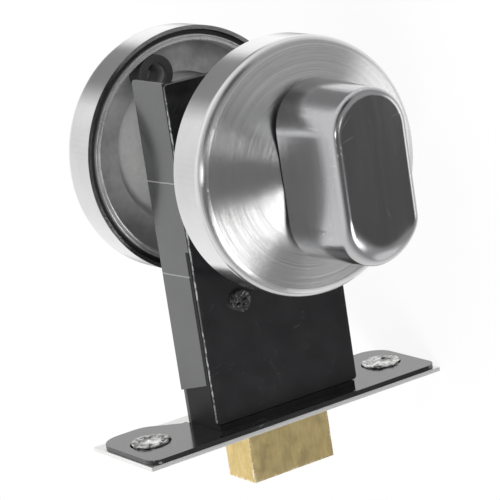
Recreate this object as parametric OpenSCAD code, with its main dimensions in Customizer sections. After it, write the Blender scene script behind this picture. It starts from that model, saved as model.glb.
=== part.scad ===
// Toilet cubicle lock: a slim mortice case with a brass bolt, a turn knob on a
// round rose for the inside and a coin release with an indicator rose outside.
// The origin is the middle of the faceplate's outer face. The bolt throws
// towards -X, the knob faces -Y and +Z is up, as the lock is fitted in a door.

/* [Faceplate] */
// Length of the faceplate, along the door edge
faceplate_l = 80; // [76:1:100]
// Width of the faceplate, across the door edge
faceplate_w = 25; // [24:0.5:30]
// Thickness of the faceplate
faceplate_t = 1.0; // [0.8:0.1:1.6]
// How far the screw holes lie from the faceplate's ends
screw_set_in = 7.75; // [7:0.25:11]
// Radius of the screw holes
screw_hole_r = 2.35; // [2:0.05:2.5]
// Radius of the countersink at the faceplate's outer face
countersink_r = 4.3; // [4:0.1:4.4]
// Play round the bolt in its openings
bolt_play = 0.3; // [0.2:0.05:0.4]

/* [Lock case] */
// Distance from the faceplate's outer face to the spindle
backset = 60.5; // [58:0.5:70]
// Distance from the spindle to the rear end of the case
case_behind = 21.1; // [21:0.1:28]
// Height of the case
case_h = 38.6; // [38:0.2:44]
// Where the back face of the case lies, across the door
case_back_y = 5.43; // [5:0.1:6.5]
// Where the outer face of the cover lies, across the door
cover_y = -8.3; // [-9:0.1:-8]
// Thickness of the base plate
plate_t = 1.2; // [1:0.1:1.4]
// Thickness of the cover
cover_t = 0.7; // [0.6:0.1:0.9]
// Thickness of the plate bent up behind the faceplate
flange_t = 1.1; // [0.9:0.1:1.4]
// How far the ends of that plate lie inside those of the faceplate
flange_set_in = 0.4; // [0.2:0.1:1]
// Radius of that plate's corners on the knob's side
flange_corner_r = 3; // [2:0.1:4]
// Radius of its corners on the other side
ear_corner_r = 5.6; // [4.5:0.1:6]
// Length over which its ears slant out beside the case
ear_rise = 9; // [7:0.5:10]
// Thickness of the side band
band_t = 0.7; // [0.5:0.1:0.9]
// Slot left between the band and the cover, beside the bolt guide
band_gap = 1.6; // [1.5:0.1:2]
// Distance from the faceplate's outer face to the band
band_start = 9.7; // [8:0.1:14]
// How much farther from the faceplate the band starts at its front edge
band_slant = 2.8; // [0:0.1:4]
// How far the rear wall lies inside the ends of the side walls
rear_set_in = 2.7; // [2:0.1:2.8]
// Corner radius of the cover
cover_corner_r = 0.8; // [0.5:0.1:2]
// Length of the bolt guide
guide_l = 41.2; // [38:0.2:42]
// Thickness of the bolt guide
guide_t = 1.2; // [1:0.1:1.4]

/* [Case screws] */
// Distance from the faceplate's outer face to the front pair of pillars
front_pillar_x = 30; // [29.5:0.5:31]
// Height of the front pillars above and below the middle
front_pillar_z = 8.9; // [8.6:0.1:9.2]
// Distance from the spindle to the rear pillar
rear_pillar_x = 14.9; // [14.5:0.1:14.9]
// Radius of the pillars
pillar_r = 2.5; // [2.2:0.1:2.7]
// Radius of the cover screws' shanks
case_screw_r = 1.45; // [1.3:0.05:1.5]
// Radius of the cover screws' heads
case_screw_head_r = 2.4; // [2.2:0.1:2.8]
// Height of the cover screws' heads
case_screw_head_h = 1.2; // [0.9:0.1:1.6]

/* [Bolt] */
// Throw of the bolt
bolt_throw = 13; // [12:0.2:13.2]
// Height of the bolt's brass head
bolt_h = 22; // [20:0.5:23]
// Thickness of the bolt's brass head
bolt_t = 10.4; // [9.6:0.1:10.6]
// Length of the brass head behind the faceplate's outer face
bolt_inside = 13; // [12.6:0.1:13.3]
// Thickness of the bolt's steel tail
tail_t = 2.5; // [2:0.1:2.8]
// Height of the tail
tail_h = 26; // [25:0.5:28]
// Height of the tongue that sits in the head
tongue_h = 18; // [15:0.5:19]
// Length of the tongue
tongue_l = 10; // [9:0.5:11]
// Radius of the rivets through head and tail
rivet_r = 1.5; // [1.2:0.1:1.8]
// Distance between the rivets
rivet_pitch = 10; // [8:0.5:12]

/* [Hub and spindle] */
// Width of the square spindle
spindle_w = 6; // [5.6:0.1:6.4]
// Radius of the hub's tube
hub_r = 5.8; // [5.6:0.05:5.9]
// Radius of the hub's cam
cam_r = 9; // [8.8:0.1:9.4]
// Distance from the spindle to the cam's flats
cam_flat = 8.2; // [8:0.1:8.5]
// Radius of the crank pin
crank_pin_r = 2; // [1.8:0.05:2.1]
// Outer radius of the hub's bushes
bush_r = 7.5; // [7.2:0.1:8]
// Flange radius of the hub's bushes
bush_flange_r = 9; // [8.5:0.1:10]
// Thickness of the bushes' flanges
bush_flange_t = 0.55; // [0.4:0.05:0.6]
// Thickness of the detent spring
spring_t = 0.5; // [0.4:0.05:0.6]
// Half length of the detent spring
spring_reach = 15.5; // [14.5:0.1:16]
// Radius of the posts under the detent spring
post_r = 1.5; // [1.2:0.1:1.8]

/* [Door leaf] */
// Thickness of the door leaf that the roses clamp
door_t = 36; // [35:0.5:40]
// How far the middle of the leaf lies from the faceplate's middle
door_mid_y = -3.1; // [-4:0.1:-2.6]

/* [Roses] */
// Outer radius of the roses
rose_r = 28.3; // [28:0.1:30]
// Height of the roses' side
rose_side_h = 10.5; // [10.3:0.1:12]
// Shoulder radius of the roses
shoulder_r = 2.6; // [2:0.1:3]
// Wall thickness of the pressed caps
cap_t = 0.9; // [0.7:0.1:1]
// Slope of the turn rose's face, in degrees
face_slope = 11.6; // [8:0.1:12]
// Width of the black liner between cap and base
liner_w = 1.1; // [0.9:0.1:1.3]
// Width of the base's rim
rim_w = 1.4; // [1.2:0.1:1.8]
// How far the top of the base's floor lies below the rose's side height
floor_down = 3.9; // [3.8:0.1:4]
// Thickness of the base's floor
floor_t = 1.4; // [1.2:0.1:1.5]
// Radius of the opening in the base's floor
floor_hole_r = 17.6; // [16.5:0.1:18]
// Gap between the black ferrules and the rim of the base
ferrule_gap = 0.15; // [0.1:0.05:0.5]
// Turn of the rose fixings away from level, in degrees
fixing_angle = 20; // [10:1:30]
// Radius of the fixing holes
fixing_hole_r = 2.4; // [2.1:0.05:2.5]
// Outer radius of the fixing posts
fixing_post_r = 3.2; // [3.1:0.05:3.3]
// Wall of the black ferrules on the fixing posts
ferrule_t = 1.2; // [0.6:0.1:1.3]
// Thickness of the ferrules' ends, which close over the ends of the posts
ferrule_lip = 0.8; // [0.5:0.1:1.2]

/* [Turn knob] */
// Length of the knob at its foot
knob_l = 39.6; // [38:0.2:40.4]
// Width of the knob at its foot
knob_w = 20.3; // [20:0.1:22]
// Distance from the door face to the knob's face
knob_out = 34.5; // [33:0.5:38]
// Draft of the knob's sides, in degrees
knob_draft = 2.2; // [1:0.1:4]
// Edge radius round the knob's face
knob_edge_r = 1.8; // [1.3:0.1:2.5]
// Radius of the knob's neck
neck_r = 6.9; // [6.7:0.05:7]
// Gap between the knob and the rose, at the middle of the knob's long sides
knob_gap = 0.5; // [0.4:0.05:0.8]
// Depth of the spindle in the knob, from the door face
spindle_in_knob = 19; // [16:0.5:22]

/* [Release and indicator] */
// Radius of the coin release's face
release_r = 6; // [5.8:0.1:6.5]
// Radius of the release's collar
collar_r = 8; // [7.8:0.1:9]
// Width of the coin slot
coin_slot_w = 2; // [1.5:0.1:2.5]
// Length of the coin slot
coin_slot_l = 9; // [8:0.5:10]
// Depth of the coin slot
coin_slot_d = 1.9; // [1.2:0.1:2]
// Distance from the rose's side to the edge of the indicator disc
disc_set_in = 8.5; // [7.4:0.1:8.9]
// Thickness of the indicator disc
disc_t = 0.9; // [0.8:0.1:1]
// Distance from the rose's side to the middle of the indicator window
window_set_in = 11.8; // [11.4:0.1:12.2]
// Width of the indicator window
window_w = 5; // [4:0.1:5.4]
// Angle that the window spans, in degrees
window_span = 64; // [50:1:72]
// How far the clear window reaches past the slot at each end, in degrees
lens_over = 4; // [2:0.5:6]

/* [Hidden] */
$fn = 96;
fit = 0.05;               // clearance of parts that are pushed together
run = 0.08;               // radial clearance of parts that turn in each other
air = 0.3;                // clearance of parts that pass each other
past = 1;                 // how far a cut runs past the face that it opens

// Case
case_end = backset + case_behind;
base_in_y = case_back_y - plate_t;
cover_in_y = cover_y + cover_t;
mid_y = (case_back_y + cover_y) / 2;
wall_z = case_h / 2 - band_t;
rear_x = case_end - rear_set_in;
rear_round = 1;
flange_x = faceplate_t + flange_t;
flange_l = faceplate_l - 2 * flange_set_in;
screw_pitch = faceplate_l - 2 * screw_set_in;
cover_x = flange_x + guide_t + 0.25;
cover_end = case_end - 0.4;
ear_back_y = faceplate_w / 2 - 0.9;
ear_foot_z = case_h / 2 + 1.2;
ear_turn_z = ear_foot_z + ear_rise;
lip_from = 0.35;
lip_to = 1.05;
lip_start = 6;
pillar_at = [[front_pillar_x, front_pillar_z], [front_pillar_x, -front_pillar_z],
    [backset + rear_pillar_x, 0]];
pillar_bore_r = case_screw_r + fit;
screw_depth = 6;
collar_wall = 0.75;

// Bolt and crank: a quarter turn of the crank about the upright draws the bolt its whole throw
crank_r = bolt_throw / sqrt(2);
crank_rest = 135;
pin_rest = crank_r * [cos(crank_rest), sin(crank_rest)];
swing_error = 0.0302 * crank_r;
slot_half_w = crank_pin_r + swing_error + 0.12;
tail_y = [mid_y - tail_t / 2, mid_y + tail_t / 2];
crank_y = [tail_y[1] + 1, base_in_y - 0.12];
arm_low_z = hub_r + 0.4;
finger_w = 3.5;
slot_end_z = crank_r + crank_pin_r + 0.8;
arm_top_z = slot_end_z + finger_w;
tail_end = backset - hub_r - bolt_throw - 0.7;
tongue_x = bolt_inside - tongue_l;
pillar_slot_r = pillar_r + air;

// Detent spring
spring_z = -cam_flat - 0.1;
spring_tab = 3;
post_x = spring_reach - spring_t - fit - post_r;

// Roses
front_y = door_mid_y - door_t / 2;
back_y = door_mid_y + door_t / 2;
liner_r = rose_r - cap_t - fit;
base_r = liner_r - liner_w - fit;
rim_h = rose_side_h - cap_t - 1.2;
liner_h = rim_h - 1.4;
liner_set_in = 0.9;
base_foot = 0.2;
floor_top = rose_side_h - floor_down;
floor_depth = floor_top - floor_t;
shoulder_at = [rose_r - shoulder_r, rose_side_h - shoulder_r];
ferrule_r = fixing_post_r + fit + ferrule_t;
fixing_pcd = 2 * (base_r - rim_w - ferrule_r - ferrule_gap);
post_foot = base_foot + ferrule_lip + fit;

// Knob
neck_end = 4.6;
knob_bore_r = neck_r + run;
knob_bush_r = knob_bore_r + 1;
cap_bore_r = knob_bush_r + fit;
socket_w = spindle_w + 2 * fit;
knob_foot_h = face_h(knob_w / 2) + knob_gap;
bush_rim_r = knob_bush_r + 1.8;
bush_rim_t = 1;
bush_low = face_h(bush_rim_r) - cap_t / cos(face_slope) - bush_rim_t;
knob_washer_t = 0.8;
circlip_t = 0.8;
circlip_open = 3.2;
circlip_h = bush_low - 0.1 - knob_washer_t - 0.1 - circlip_t;
groove_r = neck_r - 0.7;
cross_pin_r = 1;
cross_pin_h = 6.6;

// Release and indicator
disc_r = rose_r - disc_set_in;
window_r = rose_r - window_set_in;
disc_h = floor_top + 0.35;
collar_h = disc_h + disc_t;
release_washer_t = 0.2;
collar_t = rose_side_h - cap_t - 0.15 - release_washer_t - collar_h;
release_top = rose_side_h + 0.8;
boss_r = 5.6;
boss_low = 2.6;
socket_top = disc_h + disc_t - 0.2;
flag_t = 0.3;
flag_w = window_w + 1;
flag_span = 80;
lens_t = 0.65;
lens_rim = 0.6;
lens_span = window_span + 2 * lens_over;

// Plain coordinates for flat pieces: children lie in X and Z, and fill y0 to y1
module slab(y0, y1) {
    translate([0, y1, 0]) rotate([90, 0, 0]) linear_extrude(y1 - y0) children();
}

// Children lie in Y and Z, and fill x0 to x1
module leaf(x0, x1) {
    translate([x0, 0, 0]) rotate([90, 0, 90]) linear_extrude(x1 - x0) children();
}

// A round bar across the door
module bar(at, r, y0, y1) {
    slab(y0, y1) translate(at) circle(r);
}

// Children stand on the door face, +Z pointing out of the leaf on the knob's side
module on_front() {
    translate([backset, front_y, 0]) rotate([90, 0, 0]) children();
}

// Children stand on the other door face, +Z pointing out of the leaf
module on_back() {
    translate([backset, back_y, 0]) rotate([-90, 0, 0]) children();
}

// A tube between two heights
module ring(r_out, r_in, h0, h1) {
    difference() {
        translate([0, 0, h0]) cylinder(r = r_out, h = h1 - h0);
        translate([0, 0, h0 - past]) cylinder(r = r_in, h = h1 - h0 + 2 * past);
    }
}

// A rectangle with round corners
module plate_2d(w, h, r) {
    square([w - 2 * r, h], center = true);
    square([w, h - 2 * r], center = true);
    for (x = [-1, 1], y = [-1, 1]) translate([x * (w / 2 - r), y * (h / 2 - r)]) circle(r);
}

// A part of a ring, spanning an angle to both sides of a direction
module arc_slab(r_mid, w, direction, span, h0, h1) {
    translate([0, 0, h0]) rotate([0, 0, direction - span / 2])
        rotate_extrude(angle = span) translate([r_mid - w / 2, 0]) square([w, h1 - h0]);
}

// Half section of a cap: side, shoulder and sloping face, thinner by inset all round
module cap_half_2d(inset, slope) {
    edge = shoulder_r - inset;
    meet = shoulder_at + edge * [sin(slope), cos(slope)];
    polygon([[0, -past], [rose_r - inset, -past], [rose_r - inset, shoulder_at[1]], shoulder_at,
        meet, [0, meet[1] + meet[0] * tan(slope)]]);
    translate(shoulder_at) circle(edge);
}

// A pressed cap with a bore in the middle of its face
module cap(slope, bore) {
    difference() {
        rotate_extrude() intersection() {
            cap_half_2d(0, slope);
            square([rose_r, 2 * rose_side_h]);
        }
        rotate_extrude() intersection() {
            cap_half_2d(cap_t, slope);
            translate([0, -past]) square([rose_r, 3 * rose_side_h]);
        }
        cylinder(r = bore, h = 3 * rose_side_h);
    }
}

// Height of the turn rose's sloping face at a radius
function face_h(r) = shoulder_at[1] + shoulder_r * cos(face_slope)
    + (shoulder_at[0] + shoulder_r * sin(face_slope) - r) * tan(face_slope);

// The cast base inside a rose: rim, open floor and two fixing posts
module rose_base(angle) {
    difference() {
        union() {
            ring(base_r, base_r - rim_w, base_foot, rim_h);
            ring(base_r - rim_w / 2, floor_hole_r, floor_depth, floor_top);
            for (side = [0, 180]) rotate([0, 0, angle + side]) translate([fixing_pcd / 2, 0, 0])
                translate([0, 0, post_foot])
                    cylinder(r = fixing_post_r, h = floor_top + 0.1 - post_foot);
        }
        for (side = [0, 180]) rotate([0, 0, angle + side]) translate([fixing_pcd / 2, 0, -past])
            cylinder(r = fixing_hole_r, h = floor_top + 2 * past);
    }
}

// Black ferrules round the fixing posts of one rose, with a lip over each post's end
module ferrules(angle) {
    for (side = [0, 180]) rotate([0, 0, angle + side]) translate([fixing_pcd / 2, 0, base_foot])
        difference() {
            cylinder(r = ferrule_r, h = floor_depth - base_foot);
            translate([0, 0, ferrule_lip]) cylinder(r = fixing_post_r + fit, h = floor_depth);
            translate([0, 0, -past]) cylinder(r = fixing_hole_r, h = floor_depth);
        }
}

// Black liner that the cap snaps on
module liner() {
    ring(liner_r, base_r + fit, liner_set_in, liner_h);
}

// The opening that the bolt slides through
module bolt_opening_2d() {
    translate([mid_y, 0]) square([bolt_t + 2 * bolt_play, bolt_h + 2 * bolt_play], center = true);
}

// Half section of the screw dimple that is drawn through the plate behind and flared over it
module dimple_half_2d() {
    foot = flange_x + 0.1;
    polygon([[screw_hole_r, flange_x - 0.5], [countersink_r, 0], [countersink_r + collar_wall, 0],
        [countersink_r + collar_wall, faceplate_t / 2], [screw_hole_r + collar_wall, flange_x - 0.1],
        [screw_hole_r + collar_wall + 0.2, foot], [countersink_r, foot],
        [countersink_r - 0.15, foot + 0.4], [screw_hole_r + 0.6, foot + 0.35],
        [screw_hole_r, foot]]);
}

module faceplate() {
    color("#c9cacc") {
        difference() {
            leaf(0, faceplate_t) difference() {
                square([faceplate_w, faceplate_l], center = true);
                bolt_opening_2d();
            }
            for (side = [-1, 1]) translate([-past, 0, side * screw_pitch / 2]) rotate([0, 90, 0])
                cylinder(r = countersink_r + collar_wall / 2, h = faceplate_t + 2 * past);
        }
        for (side = [-1, 1]) translate([0, 0, side * screw_pitch / 2]) rotate([0, 90, 0])
            rotate_extrude() dimple_half_2d();
    }
}

// Half outline of the plate behind the faceplate: an ear with round corners, that slants in to
// the case along the tangent of its inner corner
module flange_half_2d() {
    front_y = 0.1 - faceplate_w / 2;
    round_y = ear_back_y - ear_corner_r;
    foot_y = case_back_y;
    reach = norm([round_y - foot_y, ear_turn_z - ear_foot_z]);
    lean = atan2(round_y - foot_y, ear_turn_z - ear_foot_z) + asin(ear_corner_r / reach);
    far_z = flange_l / 2;
    polygon([[front_y, 0], [foot_y, 0], [foot_y, ear_foot_z],
        [round_y + ear_corner_r * cos(lean), ear_turn_z - ear_corner_r * sin(lean)],
        [round_y, ear_turn_z], [ear_back_y, ear_turn_z], [ear_back_y, far_z - ear_corner_r],
        [round_y, far_z - ear_corner_r], [round_y, far_z], [front_y + flange_corner_r, far_z],
        [front_y + flange_corner_r, far_z - flange_corner_r], [front_y, far_z - flange_corner_r]]);
    translate([front_y + flange_corner_r, far_z - flange_corner_r]) circle(flange_corner_r);
    for (z = [ear_turn_z, far_z - ear_corner_r]) translate([round_y, z]) circle(ear_corner_r);
}

module case_base() {
    bend_y = case_back_y - flange_t;
    color("#1b1b1d") {
        leaf(faceplate_t, flange_x) difference() {
            for (side = [0, 1]) mirror([0, side]) flange_half_2d();
            translate([bend_y, -case_h / 2]) square([faceplate_w, case_h]);
            bolt_opening_2d();
            for (side = [-1, 1]) translate([0, side * screw_pitch / 2]) circle(countersink_r + 0.4);
        }
        translate([0, 0, -wall_z]) linear_extrude(2 * wall_z) intersection() {
            translate([flange_x, bend_y]) circle(flange_t);
            translate([faceplate_t, bend_y]) square(flange_t);
        }
        difference() {
            slab(base_in_y, case_back_y) translate([flange_x, -wall_z])
                square([rear_x - band_t - flange_x, 2 * wall_z]);
            bar([backset, 0], bush_r + fit, base_in_y - past, case_back_y + past);
        }
    }
}

// Side view of the band: slanting front end, slot beside the bolt guide and a round rear corner
module band_side_2d() {
    slot_y = cover_in_y + band_gap;
    step_x = flange_x + guide_l + 0.1;
    wide_y = cover_in_y + lip_from;
    slot_x = band_start + band_slant;
    polygon([[band_start, case_back_y], [slot_x, slot_y], [step_x, slot_y], [step_x, wide_y],
        [case_end, wide_y], [case_end, case_back_y - rear_round],
        [case_end - rear_round, case_back_y - rear_round], [case_end - rear_round, case_back_y]]);
    translate([case_end - rear_round, case_back_y - rear_round]) circle(rear_round);
}

// Side walls that stand past the rear wall
module case_band() {
    color("#8b8d90") intersection() {
        slab(cover_y, case_back_y + past) {
            for (side = [-1, 1]) translate([case_end / 2, side * (case_h - band_t) / 2])
                square([case_end, band_t], center = true);
            translate([rear_x - band_t, -wall_z - band_t / 2]) square([band_t, 2 * wall_z + band_t]);
        }
        linear_extrude(2 * case_h, center = true) band_side_2d();
    }
}

// Bracket with a front leaf round the bolt and side walls, with a lip that fills the band's slot
module bolt_guide() {
    wall_y = cover_in_y + lip_from;
    color("#17171a") {
        leaf(flange_x, flange_x + guide_t) difference() {
            translate([cover_y + fit, -wall_z]) square([base_in_y - cover_y - fit, 2 * wall_z]);
            bolt_opening_2d();
        }
        for (side = [-1, 1]) {
            slab(wall_y, base_in_y) translate([flange_x + guide_l / 2, side * (wall_z - guide_t / 2)])
                square([guide_l, guide_t], center = true);
            slab(wall_y, cover_in_y + lip_to)
                translate([(lip_start + flange_x + guide_l) / 2, side * (case_h - band_t - guide_t) / 2])
                    square([flange_x + guide_l - lip_start, band_t + guide_t], center = true);
        }
    }
}

module case_cover() {
    cover_l = cover_end - cover_x;
    color("#0d0d0f") difference() {
        slab(cover_y, cover_in_y) difference() {
            translate([cover_x + cover_l / 2, 0]) plate_2d(cover_l, case_h, cover_corner_r);
            translate([backset, 0]) circle(bush_r + fit);
        }
        for (at = pillar_at) bar(at, pillar_bore_r, cover_y - past, cover_in_y + past);
    }
}

module case_pillars() {
    color("#6f7074") for (at = pillar_at) difference() {
        bar(at, pillar_r, cover_in_y, base_in_y);
        bar(at, pillar_bore_r, cover_in_y - past, cover_in_y + screw_depth + fit);
    }
}

// Pan head screws with a cross recess, in from the cover's outer face
module cover_screws() {
    recess = 0.62 * case_screw_head_r;
    color("#101012") for (at = pillar_at) difference() {
        union() {
            bar(at, case_screw_r, cover_y - fit, cover_in_y + screw_depth);
            bar(at, case_screw_head_r, cover_y - case_screw_head_h, cover_y);
        }
        for (turn = [0, 90]) slab(cover_y - 2 * case_screw_head_h, cover_y - case_screw_head_h / 3)
            translate(at) rotate(turn + 20) square([2 * recess, 0.24 * case_screw_head_r], center = true);
    }
}

module spring_posts() {
    post_z = spring_z - spring_t - fit - post_r;
    color("#6f7074") for (side = [-1, 1])
        bar([backset + side * post_x, post_z], post_r, crank_y[0], base_in_y);
}

// Leaf that bears on the cam's flats and snaps over from one to the other
module detent_spring() {
    color("#a7a9ac") slab(crank_y[0], crank_y[1]) translate([backset, spring_z - spring_t]) {
        translate([-spring_reach, 0]) square([2 * spring_reach, spring_t]);
        for (x = [-spring_reach, spring_reach - spring_t]) translate([x, -spring_tab])
            square([spring_t, spring_tab + spring_t]);
    }
}

module bolt_head() {
    color("#b59a52") difference() {
        translate([-bolt_throw, mid_y - bolt_t / 2, -bolt_h / 2])
            cube([bolt_throw + bolt_inside, bolt_t, bolt_h]);
        slab(tail_y[0] - fit, tail_y[1] + fit) translate([tongue_x - fit, -bolt_h])
            square([bolt_inside, 2 * bolt_h]);
        for (side = [-1, 1]) bar([bolt_inside - tongue_l / 2, side * rivet_pitch / 2], rivet_r + fit / 2,
            mid_y - bolt_t, mid_y + bolt_t);
    }
}

module bolt_rivets() {
    color("#8d8f93") for (side = [-1, 1])
        bar([bolt_inside - tongue_l / 2, side * rivet_pitch / 2], rivet_r,
            mid_y - bolt_t / 2, mid_y + bolt_t / 2);
}

// Steel plate with two guide slots for the pillars and an open slot for the crank pin
module bolt_tail() {
    pin_x = backset + pin_rest[0];
    color("#a3a5a8") slab(tail_y[0], tail_y[1]) difference() {
        union() {
            translate([tongue_x, -tongue_h / 2]) square([tongue_l + fit, tongue_h]);
            translate([bolt_inside, -tail_h / 2]) square([tail_end - bolt_inside, tail_h]);
            translate([tail_end - finger_w, arm_low_z])
                square([pin_x + slot_half_w + finger_w - tail_end + finger_w, arm_top_z - arm_low_z]);
        }
        for (side = [-1, 1]) {
            translate([bolt_inside - tongue_l / 2, side * rivet_pitch / 2]) circle(rivet_r + fit / 2);
            for (x = [front_pillar_x, front_pillar_x - bolt_throw])
                translate([x, side * front_pillar_z]) circle(pillar_slot_r);
            translate([front_pillar_x - bolt_throw, side * front_pillar_z - pillar_slot_r])
                square([bolt_throw, 2 * pillar_slot_r]);
        }
        translate([pin_x - slot_half_w, arm_low_z - past])
            square([2 * slot_half_w, slot_end_z - arm_low_z + past]);
    }
}

module hub() {
    color("#9a9ca0") difference() {
        union() {
            bar([backset, 0], hub_r, cover_y - bush_flange_t - air, case_back_y + bush_flange_t + air);
            bar([backset, 0], bush_r - air, cover_in_y + 0.1, tail_y[0] - 2 * air);
            slab(crank_y[0], crank_y[1]) translate([backset, 0]) difference() {
                union() {
                    circle(cam_r);
                    rotate(crank_rest) translate([crank_r / 2, 0])
                        square([crank_r, 3 * crank_pin_r], center = true);
                    translate(pin_rest) circle(1.6 * crank_pin_r);
                }
                translate([cam_flat, -cam_r]) square([cam_r, 2 * cam_r]);
                translate([-cam_r, -cam_flat - cam_r]) square([2 * cam_r, cam_r]);
            }
        }
        bar([backset + pin_rest[0], pin_rest[1]], crank_pin_r, crank_y[0] - past, crank_y[1] + past);
        translate([backset, 0, 0]) cube([socket_w, 4 * faceplate_w, socket_w], center = true);
    }
}

module crank_pin() {
    color("#c8c9cb") bar([backset + pin_rest[0], pin_rest[1]], crank_pin_r - fit / 2,
        tail_y[0] - 0.6, crank_y[1]);
}

module hub_bushes() {
    color("#d8d4c4") {
        difference() {
            union() {
                bar([backset, 0], bush_r, cover_y, cover_in_y);
                bar([backset, 0], bush_flange_r, cover_y - bush_flange_t, cover_y);
            }
            bar([backset, 0], hub_r + run, cover_y - 2 * past, cover_in_y + past);
        }
        difference() {
            union() {
                bar([backset, 0], bush_r, base_in_y, case_back_y);
                bar([backset, 0], bush_flange_r, case_back_y, case_back_y + bush_flange_t);
            }
            bar([backset, 0], hub_r + run, base_in_y - past, case_back_y + 2 * past);
        }
    }
}

module spindle() {
    spindle_l = spindle_in_knob + door_t + socket_top - fit;
    color("#9b9da1") difference() {
        translate([backset, front_y - spindle_in_knob + spindle_l / 2, 0])
            cube([spindle_w, spindle_l, spindle_w], center = true);
        on_front() translate([0, 0, cross_pin_h]) rotate([0, 90, 0])
            cylinder(r = cross_pin_r, h = 4 * neck_r, center = true);
    }
}

// Cross pin that holds the spindle in the knob's neck
module spindle_pin() {
    color("#c8c9cb") on_front() translate([0, 0, cross_pin_h]) rotate([0, 90, 0])
        cylinder(r = cross_pin_r - fit / 2, h = 2 * neck_r - 0.4, center = true);
}

// Half section across the knob: drafted side and round edge
module knob_half_2d() {
    edge_y = knob_out - knob_edge_r;
    foot = knob_w / 2;
    edge_x = foot - knob_edge_r / cos(knob_draft) - (edge_y - knob_foot_h) * tan(knob_draft);
    meet = [edge_x, edge_y] + knob_edge_r * [cos(knob_draft), sin(knob_draft)];
    polygon([[0, knob_foot_h], [foot, knob_foot_h], meet, [edge_x, edge_y], [edge_x, knob_out],
        [0, knob_out]]);
    translate([edge_x, edge_y]) circle(knob_edge_r);
}

module turn_knob() {
    straight = knob_l - knob_w;
    color("#98999b") on_front() difference() {
        union() {
            difference() {
                union() {
                    translate([-straight / 2, 0, 0]) rotate([90, 0, 90]) linear_extrude(straight)
                        for (side = [0, 1]) mirror([side, 0]) knob_half_2d();
                    for (side = [0, 180]) rotate([0, 0, side]) translate([straight / 2, 0, 0])
                        rotate([0, 0, -90]) rotate_extrude(angle = 180) knob_half_2d();
                }
                translate([0, 0, knob_gap]) rotate_extrude() intersection() {
                    cap_half_2d(0, face_slope);
                    square([rose_r, 2 * rose_side_h]);
                }
            }
            translate([0, 0, neck_end]) cylinder(r = neck_r, h = knob_out - knob_edge_r - neck_end);
        }
        translate([0, 0, spindle_in_knob / 2])
            cube([socket_w, socket_w, spindle_in_knob + fit], center = true);
        translate([0, 0, cross_pin_h]) rotate([0, 90, 0])
            cylinder(r = cross_pin_r, h = 4 * neck_r, center = true);
        ring(neck_r + past, groove_r, circlip_h - fit, circlip_h + circlip_t + fit);
    }
}

// Black bush in the cap's bore, with a rim inside and a skirt under the knob
module knob_bush() {
    skirt_r = knob_w / 2 - 0.5;
    color("#141416") on_front() difference() {
        union() {
            translate([0, 0, bush_low]) cylinder(r = knob_bush_r, h = face_h(cap_bore_r) + 0.2 - bush_low);
            translate([0, 0, bush_low]) cylinder(r = bush_rim_r, h = bush_rim_t);
            rotate_extrude() polygon([[knob_bore_r, face_h(skirt_r)], [knob_bush_r, face_h(knob_bush_r)],
                [skirt_r, face_h(skirt_r)], [skirt_r, face_h(skirt_r) + knob_gap / 2],
                [knob_bush_r, face_h(knob_bush_r) + knob_gap / 2],
                [knob_bore_r, face_h(knob_bush_r) + knob_gap / 2]]);
        }
        cylinder(r = knob_bore_r, h = knob_out);
    }
}

module knob_washer() {
    color("#b9bbbe") on_front()
        ring(bush_rim_r, knob_bore_r, bush_low - 0.1 - knob_washer_t, bush_low - 0.1);
}

// Open retaining ring in the neck's groove
module knob_circlip() {
    color("#5b5c60") on_front() difference() {
        ring(neck_r + 1.4, groove_r + fit, circlip_h, circlip_h + circlip_t);
        translate([-circlip_open / 2, -2 * neck_r, circlip_h - past])
            cube([circlip_open, 2 * neck_r, circlip_t + 2 * past]);
    }
}

module turn_rose_cap() {
    color("#b9babd") on_front() cap(face_slope, cap_bore_r);
}

module turn_rose_liner() {
    color("#121214") on_front() liner();
}

module turn_rose_base() {
    color("#77787b") on_front() rose_base(fixing_angle);
}

module indicator_rose_cap() {
    color("#b9babd") on_back() difference() {
        cap(0, release_r + run);
        arc_slab(window_r, window_w, -90, window_span, rose_side_h - 2 * cap_t, rose_side_h + past);
    }
}

module indicator_rose_liner() {
    color("#121214") on_back() liner();
}

module indicator_rose_base() {
    color("#77787b") on_back() rose_base(-fixing_angle);
}

module fixing_ferrules() {
    color("#1a1a1c") {
        on_front() ferrules(fixing_angle);
        on_back() ferrules(-fixing_angle);
    }
}

// Coin slot outside, collar under the cap's face and square socket on the spindle
module release_turn() {
    color("#a9abae") on_back() difference() {
        union() {
            translate([0, 0, boss_low]) cylinder(r = boss_r, h = collar_h - boss_low);
            translate([0, 0, collar_h]) cylinder(r = collar_r, h = collar_t);
            translate([0, 0, collar_h]) cylinder(r = release_r, h = release_top - collar_h);
        }
        translate([0, 0, socket_top / 2]) cube([socket_w, socket_w, socket_top], center = true);
        translate([-coin_slot_w / 2, -coin_slot_l / 2, release_top - coin_slot_d])
            cube([coin_slot_w, coin_slot_l, coin_slot_d + past]);
    }
}

module release_washer() {
    color("#e6e4dc") on_back()
        ring(collar_r - 0.3, release_r + fit, collar_h + collar_t, collar_h + collar_t + release_washer_t);
}

module indicator_disc() {
    color("#c4c5c7") on_back() ring(disc_r, boss_r + fit, disc_h, disc_h + disc_t);
}

// Shows in the window while the bolt is thrown
module engaged_flag() {
    color("#c22a25") on_back()
        arc_slab(window_r, flag_w, -90, flag_span, disc_h + disc_t, disc_h + disc_t + flag_t);
}

// Comes under the window when the bolt is drawn
module vacant_flag() {
    color("#2f8f4a") on_back()
        arc_slab(window_r, flag_w, 180, flag_span, disc_h + disc_t, disc_h + disc_t + flag_t);
}

module indicator_window() {
    color("#dfe6ea", 0.4) on_back()
        arc_slab(window_r, window_w + 2 * lens_rim, -90, lens_span,
            rose_side_h - cap_t - lens_t, rose_side_h - cap_t);
}

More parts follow.
